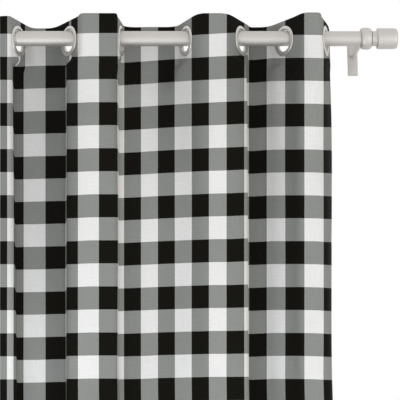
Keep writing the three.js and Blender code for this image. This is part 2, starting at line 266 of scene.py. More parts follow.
class CurtainStudio(bpy.types.PropertyGroup):
    """Floor and light."""

    floor_colour: bpy.props.FloatVectorProperty(
        name="Floor Colour", description="Colour of the studio's pale floor", default=(0.86, 0.86, 0.85),
        size=3, subtype="COLOR", min=0, max=1)
    key_power: bpy.props.FloatProperty(
        name="Key Light", description="Power of the soft light at the right", default=23, unit="POWER")
    low_power: bpy.props.FloatProperty(
        name="Low Light", description="Power of the cooler light low in front", default=7.5, unit="POWER")
    sky: bpy.props.FloatProperty(
        name="Sky", description="Strength of the even light from all sides", default=0.935, min=0)


def sizes():
    return bpy.context.scene.curtain_sizes


def finish():
    return bpy.context.scene.curtain_finish


def studio():
    return bpy.context.scene.curtain_studio


# The camera's axes, for the pattern's place and for the camera itself

def camera_axes():
    """Right, up and view directions of the camera."""
    view = (Vector(CAMERA_AIM) - Vector(CAMERA_PLACE)).normalized()
    right = view.cross(Vector((0, 0, 1))).normalized()
    up = right.cross(view)
    roll = math.radians(CAMERA_ROLL)
    turned_right = right * math.cos(roll) + up * math.sin(roll)
    turned_up = up * math.cos(roll) - right * math.sin(roll)
    return turned_right, turned_up, view


def pictured(places):
    """The picture's x and y, and the distance from the camera, of places in millimetres."""
    right, up, view = (np.array(axis) for axis in camera_axes())
    away = np.asarray(places, float) - np.array(CAMERA_PLACE)
    depth = away @ view
    x = FRAME_SIZE / 2 + FOCAL_PIXELS * (away @ right) / depth
    y = FRAME_SIZE / 2 - FOCAL_PIXELS * (away @ up) / depth
    return x, y, depth


# The plan of the cloth at one section, as x along the rod and the distance in front of the rod's axis

def to_room(i):
    return 1 if i % 2 == 0 else -1


def wall_direction(i, turn):
    angle = math.radians(turn)
    return np.array([math.sin(angle), to_room(i) * math.cos(angle)])


def crest_below(i, section):
    upper, middle, low, hem = WAVES[i][5:]
    return {"upper": upper, "middle": middle, "low": low, "hem": hem}[section]


def wall_at(i, section):
    """The centre, direction and turn of one wall."""
    x, turn, upper_x, upper_turn, low_x, low_turn, hem_x, hem_turn = WALLS[i]
    places = {
        "heading": (x, turn),
        "collar": (upper_x, upper_turn),
        "upper": (upper_x, upper_turn),
        "middle": ((upper_x + low_x) / 2, (upper_turn + low_turn) / 2),
        "low": (low_x, low_turn),
        "hem": (hem_x, hem_turn),
    }
    wall_x, wall_turn = places[section]
    out = 0
    if 0 < i < len(WALLS) - 1 and section not in AT_TOP:
        out = (crest_below(i - 1, section) + crest_below(i, section)) / 2
    return np.array([wall_x, out], float), wall_direction(i, wall_turn), wall_turn


def flat_half(section):
    return FLAT_HALF_AT_EYELET if section == "heading" else FLAT_HALF_BELOW


def bend(start, leaving, end, arriving):
    """A smooth bend as a dense run of places."""
    handle = BEND_HANDLE * np.linalg.norm(end - start)
    t = np.linspace(0, 1, 101)[:, None]
    corners = start, start + leaving * handle, end - arriving * handle, end
    weights = (1 - t) ** 3, 3 * t * (1 - t) ** 2, 3 * t * t * (1 - t), t ** 3
    return sum(w * c for w, c in zip(weights, corners))


def run_along(places):
    """How far each place lies along a run of them."""
    return np.concatenate([[0], np.cumsum(np.linalg.norm(np.diff(places, axis=0), axis=1))])


def joined(parts):
    """One run of places out of several that meet, and how far along it each place and part's end lies."""
    places = np.concatenate([parts[0]] + [part[1:] for part in parts[1:]])
    run = run_along(places)
    ends = run[np.cumsum([0] + [len(part) - 1 for part in parts])]
    return places, run, ends


def crest_ends(i, section, crest):
    _, _, first, last, share = WAVES[i][:5]
    if section not in AT_TOP:
        left, right = wall_at(i, section)[0][0], wall_at(i + 1, section)[0][0]
        middle = left + (right - left) * share
        first, last = middle - CREST_HALF_BELOW, middle + CREST_HALF_BELOW
    return np.array([first, crest], float), np.array([last, crest], float)


def wave_path(i, section, crest):
    """The cloth from the middle of one wall to the middle of the next."""
    left, left_way, _ = wall_at(i, section)
    right, right_way, _ = wall_at(i + 1, section)
    half = flat_half(section)
    start, end = left + left_way * half, right - right_way * half
    near, far = crest_ends(i, section, crest)
    along = np.array([1.0, 0.0])
    return joined([
        np.array([left, start]), bend(start, left_way, near, along), np.array([near, far]),
        bend(far, along, end, right_way), np.array([end, right]),
    ])


def heading_crest(i):
    """Moves the crest out until the cloth between the two eyelets has its full length."""
    side, between = WAVES[i][:2]
    near, far = LEAST_CREST, MOST_CREST
    for _ in range(CREST_TRIALS):
        tried = (near + far) / 2
        near, far = (tried, far) if wave_path(i, "heading", side * tried)[1][-1] < between else (near, tried)
    return side * near


def flap_path(section, side):
    """The loose edge beyond an outer eyelet, which curls away a little."""
    i = 0 if side < 0 else len(WALLS) - 1
    centre, way, turn = wall_at(i, section)
    out = wall_direction(i, turn - FLAP_CURL)
    near = centre + way * side * flat_half(section)
    far = near + out * side * (SIDE_MARGIN - flat_half(section))
    if side < 0:
        return joined([bend(far, out, near, way), np.array([near, centre])])
    return joined([np.array([centre, near]), bend(near, way, far, out)])


def paths_at(section):
    waves = range(len(WAVES))
    crests = [heading_crest(i) if section in AT_TOP else crest_below(i, section) for i in waves]
    paths = [wave_path(i, section, crest) for i, crest in zip(waves, crests)]
    return [flap_path(section, -1), *paths, flap_path(section, 1)]


def shares():
    """Shares of each path's length where the mesh's columns lie, the same at every section."""
    wave = (PATCH_STEPS, WAVE_STEPS, CREST_STEPS, WAVE_STEPS, PATCH_STEPS)
    steps = [(FLAP_STEPS, PATCH_STEPS)] + [wave] * len(WAVES) + [(PATCH_STEPS, FLAP_STEPS)]
    result = []
    for (_, run, ends), counts in zip(paths_at("heading"), steps):
        spans = [np.linspace(a, b, n + 1)[:-1] for a, b, n in zip(ends, ends[1:], counts)]
        result.append(np.concatenate(spans) / run[-1])
    result[-1] = np.append(result[-1], 1.0)
    return result


def plan_of(section, path_shares):
    parts = []
    for (places, run, _), along in zip(paths_at(section), path_shares):
        parts.append(np.stack([np.interp(along * run[-1], run, places[:, k]) for k in (0, 1)], axis=1))
    return np.concatenate(parts)


def wall_columns():
    """The column of the mesh at the middle of each wall."""
    wave = 2 * PATCH_STEPS + 2 * WAVE_STEPS + CREST_STEPS
    return [FLAP_STEPS + PATCH_STEPS + i * wave for i in range(len(WALLS))]


def steady_slopes(heights, values):
    """Slopes of a smooth run through values at the section heights that never swings past them."""
    steps = np.diff(heights)[:, None, None]
    rates = np.diff(values, axis=0) / steps
    before, after = rates[:-1], rates[1:]
    near = 2 * steps[1:] + steps[:-1]
    far = steps[1:] + 2 * steps[:-1]
    safe_before = np.where(before == 0, 1, before)
    safe_after = np.where(after == 0, 1, after)
    inner = np.where(before * after > 0, (near + far) / (near / safe_before + far / safe_after), 0)
    return np.concatenate([np.zeros_like(rates[:1]), inner, rates[-1:]])


def plans_at(rows):
    """The plan at each height in rows, as an array of rows by columns by two."""
    heights = np.array(list(SECTIONS.values()), float)
    path_shares = shares()
    plans = np.stack([plan_of(section, path_shares) for section in SECTIONS])
    slopes = steady_slopes(heights, plans)
    result = []
    for z in rows:
        k = max([0] + [n for n, height in enumerate(heights) if height >= z and height > HEM])
        step = heights[k + 1] - heights[k]
        t = max(0.0, (z - heights[k]) / step)
        rest = 1 - t
        result.append(
            plans[k] * rest * rest * (1 + 2 * t)
            + plans[k + 1] * t * t * (3 - 2 * t)
            + step * t * rest * (slopes[k] * rest - slopes[k + 1] * t))
    return np.stack(result)


def cloth_rows():
    """Heights of the mesh's rows, close together at the heading and the hem."""
    rows = []
    for top, foot, pitch in ROW_SPANS:
        count = max(1, round((top - foot) / pitch))
        rows += list(np.linspace(top, foot, count + 1)[:-1])
    return np.array(rows + [HEM])


# The check's place on the cloth

def stretch_names():
    """The stretch of the picture that each column of the mesh belongs to."""
    walls = wall_columns()
    ends = [
        ("left_fold", walls[1]), ("back_fold", walls[2]), ("front_fold", walls[3]),
        ("wide_fold", walls[5] + PATCH_STEPS),
    ]
    total = walls[-1] + PATCH_STEPS + FLAP_STEPS + 1
    names = []
    for name, end in ends:
        names += [name] * (end + 1 - len(names))
    return names + ["right_fold"] * (total - len(names))


def seen(x, depth, run, least):
    """Which columns of one row the camera sees: those that face it by more than least and aren't covered."""
    facing = np.gradient(x) / np.maximum(np.gradient(run), 1e-6) > least
    low = np.minimum(x[:-1], x[1:])
    high = np.maximum(x[:-1], x[1:])
    nearest = np.minimum(depth[:-1], depth[1:])
    before = nearest[None] < depth[:, None] - SEEN_CLEARANCE
    covered = (low[None] < x[:, None]) & (high[None] > x[:, None]) & before
    return facing & ~covered.any(axis=1)


def row_drop(table, x, y):
    """How far the rows lie below the front fold's, at a place in the picture."""
    places = [row[0] for row in table]
    drops = [np.interp(x, places, [row[k] for row in table]) for k in (1, 2, 3)]
    upper = drops[0] + (y - ROW_HEIGHTS[0]) * (drops[1] - drops[0]) / (ROW_HEIGHTS[1] - ROW_HEIGHTS[0])
    lower = drops[1] + (y - ROW_HEIGHTS[1]) * (drops[2] - drops[1]) / (ROW_HEIGHTS[2] - ROW_HEIGHTS[1])
    return np.where(y < ROW_HEIGHTS[1], upper, lower)


def column_count(table, x):
    """The column count at a place in the picture, running on beyond the table at its end slopes."""
    places = np.array([row[0] for row in table])
    counts = np.array([row[1] for row in table])
    inside = np.interp(x, places, counts)
    left = (counts[1] - counts[0]) / (places[1] - places[0])
    right = (counts[-1] - counts[-2]) / (places[-1] - places[-2])
    return inside + np.minimum(x - places[0], 0) * left + np.maximum(x - places[-1], 0) * right


def check_places(rows, plans):
    """Column and row counts of the check for every point of the mesh."""
    check = sizes().check / MM
    names = np.array(stretch_names())
    least = np.where(names == "right_fold", LEAST_FACING_RIGHT, LEAST_FACING)
    columns, lifts = [], []
    for z, plan in zip(rows, plans):
        if z < LOWEST_SEEN:
            columns.append(columns[-1])
            lifts.append(lifts[-1])
            continue
        held = np.clip((z - SECTIONS["collar"]) / (HEADING_FOOT - SECTIONS["collar"]), 0, 1)
        run = run_along(plan)
        places = np.stack([plan[:, 0], -REACH - plan[:, 1] - SHEET / 2, np.full(len(plan), z)], axis=1)
        x, y, depth = pictured(places)
        shown = seen(x, depth, run, least) & (x > LEFTMOST_SEEN) & (x < FRAME_SIZE)
        count = np.zeros(len(plan))
        row = np.zeros(len(plan))
        for name in COLUMN_PLACES:
            here = names == name
            count[here] = column_count(COLUMN_PLACES[name], x[here])
            if name in HEADING_PLACES:
                count[here] += held * (column_count(HEADING_PLACES[name], x[here]) - count[here])
            drop = row_drop(ROW_DROPS[name], x[here], y[here])
            row[here] = (y[here] - drop - ROW_START) / ROW_PITCH
        known = np.flatnonzero(shown)
        counts = np.interp(run, run[known], count[known])
        counts -= np.maximum(run[known[0]] - run, 0) / check
        counts += np.maximum(run - run[known[-1]], 0) / check
        lift = row + z / check
        columns.append(counts)
        lifts.append(np.interp(run, run[known], lift[known]))
    columns = smoothed(np.stack(columns))
    lifts = smoothed(np.stack(lifts))
    return columns, lifts - rows[:, None] / check


def smoothed(values):
    """Evens a field out a little down the cloth."""
    padded = np.concatenate([values[:1], values, values[-1:]])
    return (padded[:-2] + 2 * padded[1:-1] + padded[2:]) / 4


# The cloth

def unevenness(rows, run):
    """A slight, seeded unevenness of hanging cloth, which fades out at the eyelets."""
    rng = np.random.default_rng(7)
    z = rows[:, None]
    height = np.zeros((len(rows), len(run)))
    for _ in range(SWAY_WAVES):
        wide = rng.uniform(*SWAY_WIDTHS)
        tall = rng.uniform(*SWAY_HEIGHTS)
        phase = rng.uniform(0, 2 * math.pi, 2)
        across = np.sin(run[None] * 2 * math.pi / wide + phase[0])
        height += across * np.sin(z * 2 * math.pi / tall + phase[1])
    fade = np.clip((-60 - z) / 140, 0, 1)
    return height / 3 * fade * sizes().softness / MM


def cloth_faces(rows, plans):
    """The room side and the wall side of the cloth, as places in millimetres."""
    along = np.gradient(plans, axis=1)
    along /= np.linalg.norm(along, axis=2, keepdims=True)
    outward = np.stack([-along[..., 1], along[..., 0]], axis=2)
    run = run_along(plans[0])
    from_edge = np.minimum(run, run[-1] - run)
    side_hem = np.clip((SIDE_HEM - from_edge) / SIDE_HEM_STEP + 0.5, 0, 1)
    bottom_hem = np.clip((HEM_TOP - rows) / HEM_STEP, 0, 1)
    share = np.maximum(side_hem[None], bottom_hem[:, None])
    half = (SHEET + (HEM_SHEET - SHEET) * share) / 2
    edge = np.minimum(from_edge[None], np.minimum(HEADING_TOP - rows, rows - HEM)[:, None])
    half *= np.where(edge < CUT_BORDER, CUT_SHARE, 1)
    sway = unevenness(rows, run)
    faces = []
    for side in (1, -1):
        place = plans + outward * (sway + side * half)[..., None]
        z = np.repeat(rows[:, None], plans.shape[1], axis=1)
        faces.append(np.stack([place[..., 0], -REACH - place[..., 1], z], axis=2))
    return faces


def cloth_grid():
    """Rows and plans of the mesh, with a narrow border that rounds the cut edges."""
    rows = cloth_rows()
    rows = np.concatenate([[rows[0]], [rows[0] - 0.7], rows[1:-1], [rows[-1] + 1.0], [rows[-1]]])
    return rows, plans_at(rows)


def closed_sheet(front, back, counts, lines):
    """A closed mesh between two faces, with the check's counts as its UV map."""
    tall, wide = front.shape[:2]
    sheet = bmesh.new()
    layer = sheet.loops.layers.uv.new("check_count")
    corners = [[[sheet.verts.new(face[r, c] * MM) for c in range(wide)] for r in range(tall)]
               for face in (front, back)]

    def face(*spots):
        made = sheet.faces.new([corners[side][r][c] for side, r, c in spots])
        made.smooth = True
        for loop, (_, r, c) in zip(made.loops, spots):
            loop[layer].uv = (counts[r, c], lines[r, c])

    for r in range(tall - 1):
        for c in range(wide - 1):
            face((0, r + 1, c), (0, r + 1, c + 1), (0, r, c + 1), (0, r, c))
            face((1, r + 1, c + 1), (1, r + 1, c), (1, r, c), (1, r, c + 1))
    end = wide - 1
    for r in range(tall - 1):
        face((1, r + 1, 0), (0, r + 1, 0), (0, r, 0), (1, r, 0))
        face((0, r + 1, end), (1, r + 1, end), (1, r, end), (0, r, end))
    foot = tall - 1
    for c in range(wide - 1):
        face((0, 0, c), (0, 0, c + 1), (1, 0, c + 1), (1, 0, c))
        face((1, foot, c), (1, foot, c + 1), (0, foot, c + 1), (0, foot, c))
    return finished(sheet, "cloth_sheet")


def hole_cutter():
    """One mesh of short cylinders, one through the cloth at each eyelet."""
    tool = bmesh.new()
    for i, wall in enumerate(WALLS):
        place = Matrix.Translation(Vector((wall[0], -REACH, EYELET_CENTRE)) * MM)
        turn = Matrix.Rotation(to_room(i) * math.radians(wall[1]), 4, "Z")
        along = Matrix.Rotation(math.radians(90), 4, "Y")
        bmesh.ops.create_cone(
            tool, cap_ends=True, segments=64, radius1=EYELET_HOLE * MM, radius2=EYELET_HOLE * MM,
            depth=HOLE_CUT * MM, matrix=place @ turn @ along)
    return add_object("hole_cutter", finished(tool, "hole_cutter"))


# Objects and meshes

def add_object(name, data):
    piece = bpy.data.objects.new(name, data)
    bpy.context.scene.collection.objects.link(piece)
    return piece


def finished(work, name):
    """The mesh that a piece of mesh work ends as."""
    mesh = bpy.data.meshes.new(name)
    work.to_mesh(mesh)
    work.free()
    return mesh


def baked(piece):
    """Turns a piece with modifiers into a plain mesh."""
    bpy.context.view_layer.update()
    graph = bpy.context.evaluated_depsgraph_get()
    mesh = bpy.data.meshes.new_from_object(piece.evaluated_get(graph), depsgraph=graph)
    old = piece.data
    piece.modifiers.clear()
    piece.data = mesh
    if old.users == 0 and isinstance(old, bpy.types.Mesh):
        bpy.data.meshes.remove(old)
    return piece


def with_sharp_edges(mesh, degrees):
    """Shades a mesh smoothly, apart from edges sharper than the given angle."""
    work = bmesh.new()
    work.from_mesh(mesh)
    for polygon in work.faces:
        polygon.smooth = True
    limit = math.radians(degrees)
    for edge in work.edges:
        edge.smooth = len(edge.link_faces) != 2 or edge.calc_face_angle(0) < limit
    work.to_mesh(mesh)
    work.free()
    return mesh


def lathe(name, profile, sides):
    """A body turned about the X axis, from x and radius pairs in millimetres that run round its section."""
    work = bmesh.new()
    rings = []
    for x, radius in profile:
        if radius == 0:
            rings.append([work.verts.new((x * MM, 0, 0))] * sides)
            continue
        angles = [2 * math.pi * k / sides for k in range(sides)]
        rings.append([work.verts.new((x * MM, radius * MM * math.cos(a), radius * MM * math.sin(a)))
                      for a in angles])
    for first, second in zip(rings, rings[1:]):
        for k in range(sides):
            ring = [first[k], second[k], second[(k + 1) % sides], first[(k + 1) % sides]]
            corners = list(dict.fromkeys(ring))
            if len(corners) > 2:
                work.faces.new(corners)
    bmesh.ops.remove_doubles(work, verts=work.verts, dist=1e-7)
    bmesh.ops.recalc_face_normals(work, faces=work.faces)
    return finished(work, name)


def rounded(corners, radius, steps=5):
    """A profile with its corners rounded. Each corner is x, radius and whether it stays sharp."""
    places = []
    count = len(corners)
    for k, (x, r, sharp) in enumerate(corners):
        here = Vector((x, r))
        if sharp or k in (0, count - 1):
            places.append((x, r))
            continue
        before = Vector(corners[k - 1][:2]) - here
        after = Vector(corners[k + 1][:2]) - here
        reach = min(radius, before.length * 0.45, after.length * 0.45)
        a = here + before.normalized() * reach
        b = here + after.normalized() * reach
        for n in range(steps + 1):
            t = n / steps
            spot = a * (1 - t) ** 2 + here * 2 * t * (1 - t) + b * t * t
            places.append((spot.x, spot.y))
    return places


def moved(mesh, matrix):
    """Places a mesh, and turns its faces round if the matrix mirrors it."""
    mesh.transform(matrix)
    if matrix.determinant() < 0:
        mesh.flip_normals()
    return mesh


# Materials

def new_material(name):
    material = bpy.data.materials.new(name)
    material.use_nodes = True
    tree = material.node_tree
    shader = tree.nodes["Principled BSDF"]
    return material, tree, shader


def node(tree, kind, **values):
    made = tree.nodes.new(kind)
    for key, value in values.items():
        setattr(made, key, value)
    return made


def maths(tree, operation, first, second=None):
    made = node(tree, "ShaderNodeMath", operation=operation)
    for k, value in enumerate((first, second)):
        if value is None:
            continue
        if isinstance(value, (int, float)):
            made.inputs[k].default_value = value
        else:
            tree.links.new(value, made.inputs[k])
    return made.outputs[0]


def noise(tree, vector, scale, detail=2.0):
    made = node(tree, "ShaderNodeTexNoise")
    made.inputs["Scale"].default_value = scale
    made.inputs["Detail"].default_value = detail
    tree.links.new(vector, made.inputs["Vector"])
    return made.outputs["Fac"]


def stretched(tree, vector, across, down, through=1.0):
    made = node(tree, "ShaderNodeMapping")
    made.inputs["Scale"].default_value = (across, down, through)
    tree.links.new(vector, made.inputs["Vector"])
    return made.outputs["Vector"]


def lifted(tree, value, factor, start):
    """start plus factor times a value."""
    return maths(tree, "ADD", maths(tree, "MULTIPLY", value, factor), start)


def add_bump(tree, shader, height, strength, distance):
    bump = node(tree, "ShaderNodeBump")
    bump.inputs["Strength"].default_value = strength
    bump.inputs["Distance"].default_value = distance
    tree.links.new(height, bump.inputs["Height"])
    tree.links.new(bump.outputs["Normal"], shader.inputs["Normal"])


def times_tone(tree, tone):
    """A mix that multiplies its first colour by a tone."""
    mix = node(tree, "ShaderNodeMix", data_type="RGBA", blend_type="MULTIPLY")
    mix.inputs["Factor"].default_value = 1.0
    tree.links.new(tone, mix.inputs[7])
    return mix.inputs[6], mix.outputs[2]


def cloth_material():
    """A woven check: dark and light yarns run both ways, and mix where they cross."""
    material, tree, shader = new_material("woven_check")
    link = tree.links.new
    counts = node(tree, "ShaderNodeUVMap", uv_map="check_count").outputs["UV"]
    place = node(tree, "ShaderNodeTexCoord").outputs["Object"]

    # The woven edge of each check wanders by a thread or so
    wander = noise(tree, stretched(tree, counts, 9, 9), 1.0, 1.0)
    wander = maths(tree, "MULTIPLY", maths(tree, "SUBTRACT", wander, 0.5), 0.02)
    split = node(tree, "ShaderNodeSeparateXYZ")
    link(counts, split.inputs[0])
    bands = []
    for axis in ("X", "Y"):
        counted = maths(tree, "FLOOR", maths(tree, "ADD", split.outputs[axis], wander))
        bands.append(maths(tree, "FLOORED_MODULO", counted, 2.0))
    both = maths(tree, "MULTIPLY", maths(tree, "ADD", *bands), 0.5)
    yarns = node(tree, "ShaderNodeValToRGB")
    yarns.color_ramp.interpolation = "CONSTANT"
    stops = yarns.color_ramp.elements
    stops[0].position = 0.0
    stops[0].color = (*finish().light_yarn, 1)
    stops[1].position = 0.25
    stops[1].color = (*finish().mixed_yarn, 1)
    last = stops.new(0.75)
    last.color = (*finish().dark_yarn, 1)
    link(both, yarns.inputs["Fac"])

    # Slubs and single threads that are a little lighter or darker, along and across
    down_slubs = noise(tree, stretched(tree, counts, 42, 1.3), 1.0, 3.0)
    cross_slubs = noise(tree, stretched(tree, counts, 1.1, 38), 1.0, 3.0)
    cloudy = noise(tree, place, 6.0, 2.0)
    total = maths(tree, "ADD", maths(tree, "ADD", down_slubs, cross_slubs), cloudy)
    plain, toned = times_tone(tree, lifted(tree, maths(tree, "SUBTRACT", total, 1.5), 0.22, 1.0))
    link(yarns.outputs["Color"], plain)
    link(toned, shader.inputs["Base Color"])

    # A plain weave, with its threads about two thirds of a millimetre apart
    threads = stretched(tree, counts, 58, 58)
    ways = []
    for direction in ("X", "Y"):
        wave = node(tree, "ShaderNodeTexWave", wave_type="BANDS", bands_direction=direction)
        wave.inputs["Scale"].default_value = 0.5
        wave.inputs["Distortion"].default_value = 0.6
        wave.inputs["Detail"].default_value = 1.0
        link(threads, wave.inputs["Vector"])
        ways.append(wave.outputs["Fac"])
    weave = maths(tree, "MULTIPLY", maths(tree, "ADD", *ways), 0.5)
    slubs = maths(tree, "MULTIPLY", maths(tree, "ADD", down_slubs, cross_slubs), 0.8)
    add_bump(tree, shader, maths(tree, "ADD", weave, slubs), 0.22, 0.00025)
    link(lifted(tree, weave, 0.08, 0.86), shader.inputs["Roughness"])
    shader.inputs["Specular IOR Level"].default_value = 0.08
    return material


def metal_material(name, colour, roughness, grain):
    """A satin metal with a fine grain along X, faint smudges and slight variation of tone."""
    material, tree, shader = new_material(name)
    link = tree.links.new
    place = node(tree, "ShaderNodeTexCoord").outputs["Object"]
    lines = noise(tree, stretched(tree, place, 60, 1400, 1400), 1.0, 2.0)
    smudges = noise(tree, place, 24.0, 3.0)
    wear = noise(tree, stretched(tree, place, 400, 400, 400), 1.0, 2.0)
    plain, toned = times_tone(tree, lifted(tree, maths(tree, "SUBTRACT", smudges, 0.5), 0.10, 1.0))
    plain.default_value = (*colour, 1)
    link(toned, shader.inputs["Base Color"])
    uneven = maths(tree, "ADD", maths(tree, "MULTIPLY", lines, 0.10), maths(tree, "MULTIPLY", smudges, 0.08))
    link(maths(tree, "ADD", uneven, roughness - 0.09), shader.inputs["Roughness"])
    add_bump(tree, shader, maths(tree, "ADD", lines, maths(tree, "MULTIPLY", wear, 0.5)), grain, 0.00005)
    shader.inputs["Metallic"].default_value = 0.8
    shader.inputs["Specular IOR Level"].default_value = 0.5
    return material


def thread_material():
    """Sewing thread in the grey of the mixed checks, with a fine twist."""
    material, tree, shader = new_material("sewing_thread")
    link = tree.links.new
    place = node(tree, "ShaderNodeTexCoord").outputs["Object"]
    twist = noise(tree, place, 2500.0, 1.0)
    colour = node(tree, "ShaderNodeValToRGB")
    colour.color_ramp.elements[0].color = (0.16, 0.16, 0.15, 1)
    colour.color_ramp.elements[1].color = (0.30, 0.30, 0.285, 1)
    link(twist, colour.inputs["Fac"])
    link(colour.outputs["Color"], shader.inputs["Base Color"])
    add_bump(tree, shader, twist, 0.3, 0.0001)
    shader.inputs["Roughness"].default_value = 0.75
    return material


def floor_material():
    material, tree, shader = new_material("studio_floor")
    place = node(tree, "ShaderNodeTexCoord").outputs["Object"]
    grain = noise(tree, place, 3.0, 2.0)
    tone = node(tree, "ShaderNodeValToRGB")
    tone.color_ramp.elements[0].color = (*(channel * 0.985 for channel in studio().floor_colour), 1)
    tone.color_ramp.elements[1].color = (*studio().floor_colour, 1)
    tree.links.new(grain, tone.inputs["Fac"])
    tree.links.new(tone.outputs["Color"], shader.inputs["Base Color"])
    shader.inputs["Roughness"].default_value = 0.9
    return material


def dress(piece, material):
    """Gives a piece its material and rides it on the one body."""
    piece.data.materials.clear()
    piece.data.materials.append(material)
    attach(piece, "root")
    return piece


# Geometry Nodes trees

def new_tree(name, numbers=(), objects=()):
    tree = bpy.data.node_groups.new(name, "GeometryNodeTree")
    face = tree.interface
    face.new_socket("Geometry", in_out="INPUT", socket_type="NodeSocketGeometry")
    for label, default in numbers:
        face.new_socket(label, in_out="INPUT", socket_type="NodeSocketFloat").default_value = default
    for label in objects:
        face.new_socket(label, in_out="INPUT", socket_type="NodeSocketObject")
    face.new_socket("Finish", in_out="INPUT", socket_type="NodeSocketMaterial")
    face.new_socket("Geometry", in_out="OUTPUT", socket_type="NodeSocketGeometry")
    return tree, tree.nodes.new("NodeGroupInput"), tree.nodes.new("NodeGroupOutput")


def close_tree(tree, given, result, instances):
    """Ends a tree in Realize Instances and Set Material."""
    link = tree.links.new
    real = tree.nodes.new("GeometryNodeRealizeInstances")
    paint = tree.nodes.new("GeometryNodeSetMaterial")
    link(instances, real.inputs["Geometry"])
    link(real.outputs["Geometry"], paint.inputs["Geometry"])
    link(given.outputs["Finish"], paint.inputs["Material"])
    link(paint.outputs["Geometry"], result.inputs["Geometry"])


def run_tree(piece, tree, **values):
    """Runs a tree on a piece with its inputs set by their identifiers, and leaves a plain mesh."""
    modifier = piece.modifiers.new(tree.name, "NODES")
    modifier.node_group = tree
    for item in tree.interface.items_tree:
        key = item.name.lower().replace(" ", "_")
        if item.item_type == "SOCKET" and item.in_out == "INPUT" and key in values:
            modifier[item.identifier] = values[key]
    return baked(piece)


def ring_tree():
    """Sets one eyelet at each point of a mesh, turned by the point's own angle."""
    tree, given, result = new_tree("eyelet_row", objects=["Ring"])
    link = tree.links.new
    ring = tree.nodes.new("GeometryNodeObjectInfo")
    link(given.outputs["Ring"], ring.inputs["Object"])
    angle = tree.nodes.new("GeometryNodeInputNamedAttribute")
    angle.data_type = "FLOAT"
    angle.inputs["Name"].default_value = "turn"
    turn = tree.nodes.new("ShaderNodeCombineXYZ")
    link(angle.outputs["Attribute"], turn.inputs["Z"])
    points = tree.nodes.new("GeometryNodeMeshToPoints")
    link(given.outputs["Geometry"], points.inputs["Mesh"])
    spread = tree.nodes.new("GeometryNodeInstanceOnPoints")
    link(points.outputs["Points"], spread.inputs["Points"])
    link(ring.outputs["Geometry"], spread.inputs["Instance"])
    link(turn.outputs["Vector"], spread.inputs["Rotation"])
    close_tree(tree, given, result, spread.outputs["Instances"])
    return tree


def stitch_tree():
    """Lays short stitches end to end, with a small gap, along every edge chain of a mesh."""
    numbers = [("Pitch", 0.0036), ("Stitch Length", 0.0026), ("Thread", 0.0004)]
    tree, given, result = new_tree("stitch_row", numbers=numbers)
    link = tree.links.new
    lines = tree.nodes.new("GeometryNodeMeshToCurve")
    link(given.outputs["Geometry"], lines.inputs["Mesh"])
    even = tree.nodes.new("GeometryNodeResampleCurve")
    even.mode = "LENGTH"
    link(lines.outputs["Curve"], even.inputs["Curve"])
    link(given.outputs["Pitch"], even.inputs["Length"])
    way = tree.nodes.new("GeometryNodeInputTangent")
    turn = tree.nodes.new("FunctionNodeAlignRotationToVector")
    turn.axis = "Z"
    link(way.outputs["Tangent"], turn.inputs["Vector"])
    stitch = tree.nodes.new("GeometryNodeMeshUVSphere")
    stitch.inputs["Segments"].default_value = 6
    stitch.inputs["Rings"].default_value = 4
    stitch.inputs["Radius"].default_value = 0.5
    size = tree.nodes.new("ShaderNodeCombineXYZ")
    link(given.outputs["Thread"], size.inputs["X"])
    link(given.outputs["Thread"], size.inputs["Y"])
    link(given.outputs["Stitch Length"], size.inputs["Z"])
    spread = tree.nodes.new("GeometryNodeInstanceOnPoints")
    link(even.outputs["Curve"], spread.inputs["Points"])
    link(stitch.outputs["Mesh"], spread.inputs["Instance"])
    link(turn.outputs["Rotation"], spread.inputs["Rotation"])
    link(size.outputs["Vector"], spread.inputs["Scale"])
    close_tree(tree, given, result, spread.outputs["Instances"])
    return tree


# Operators

class CURTAIN_OT_cloth(bpy.types.Operator):
    """Hangs the checked cloth in its waves, with its hems and eyelet holes"""

    bl_idname = "curtain.cloth"
    bl_label = "Cloth"

    def execute(self, context):
        rows, plans = cloth_grid()
        front, back = cloth_faces(rows, plans)
        counts, lines = check_places(rows, plans)
        mesh = closed_sheet(front, back, counts, lines)
        panel = add_object("curtain_cloth", mesh)
        cutter = hole_cutter()
        cut = panel.modifiers.new("holes", "BOOLEAN")
        cut.operation = "DIFFERENCE"
        cut.solver = "EXACT"
        cut.object = cutter
        baked(panel)
        bpy.data.objects.remove(cutter)
        with_sharp_edges(panel.data, 50)
        if len(panel.data.polygons) < 1000:
            raise RuntimeError("the cloth lost its faces when its holes were cut")
        dress(panel, cloth_material())
        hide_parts("cloth")
        return {"FINISHED"}


class CURTAIN_OT_stitches(bpy.types.Operator):
    """Sews the side hems and the bottom hem with short stitches on both faces"""

    bl_idname = "curtain.stitches"
    bl_label = "Stitches"

    def execute(self, context):
        rows, plans = cloth_grid()
        front, back = cloth_faces(rows, plans)
        run = run_along(plans[0])
        work = bmesh.new()

        def sew(places):
            spots = [work.verts.new(place * MM) for place in places]
            for first, second in zip(spots, spots[1:]):
                work.edges.new((first, second))

        tall = rows > SEAM_Z
        for face in (front, back):
            for along in (SEAM_FROM_SIDE, run[-1] - SEAM_FROM_SIDE):
                column = np.interp(along, run, np.arange(len(run)))
                left, share = int(column), column - int(column)
                sew((face[:, left] * (1 - share) + face[:, left + 1] * share)[tall])
            low = np.interp(-SEAM_Z, -rows, np.arange(len(rows)))
            upper, share = int(low), low - int(low)
            sew((face[upper] * (1 - share) + face[upper + 1] * share)[2:-2])
        seams = add_object("hem_stitches", finished(work, "hem_lines"))
        thread = thread_material()
        size = sizes()
        run_tree(seams, stitch_tree(), pitch=size.stitch_pitch, stitch_length=size.stitch_length,
                 thread=size.thread, finish=thread)
        with_sharp_edges(seams.data, 80)
        dress(seams, thread)
        return {"FINISHED"}


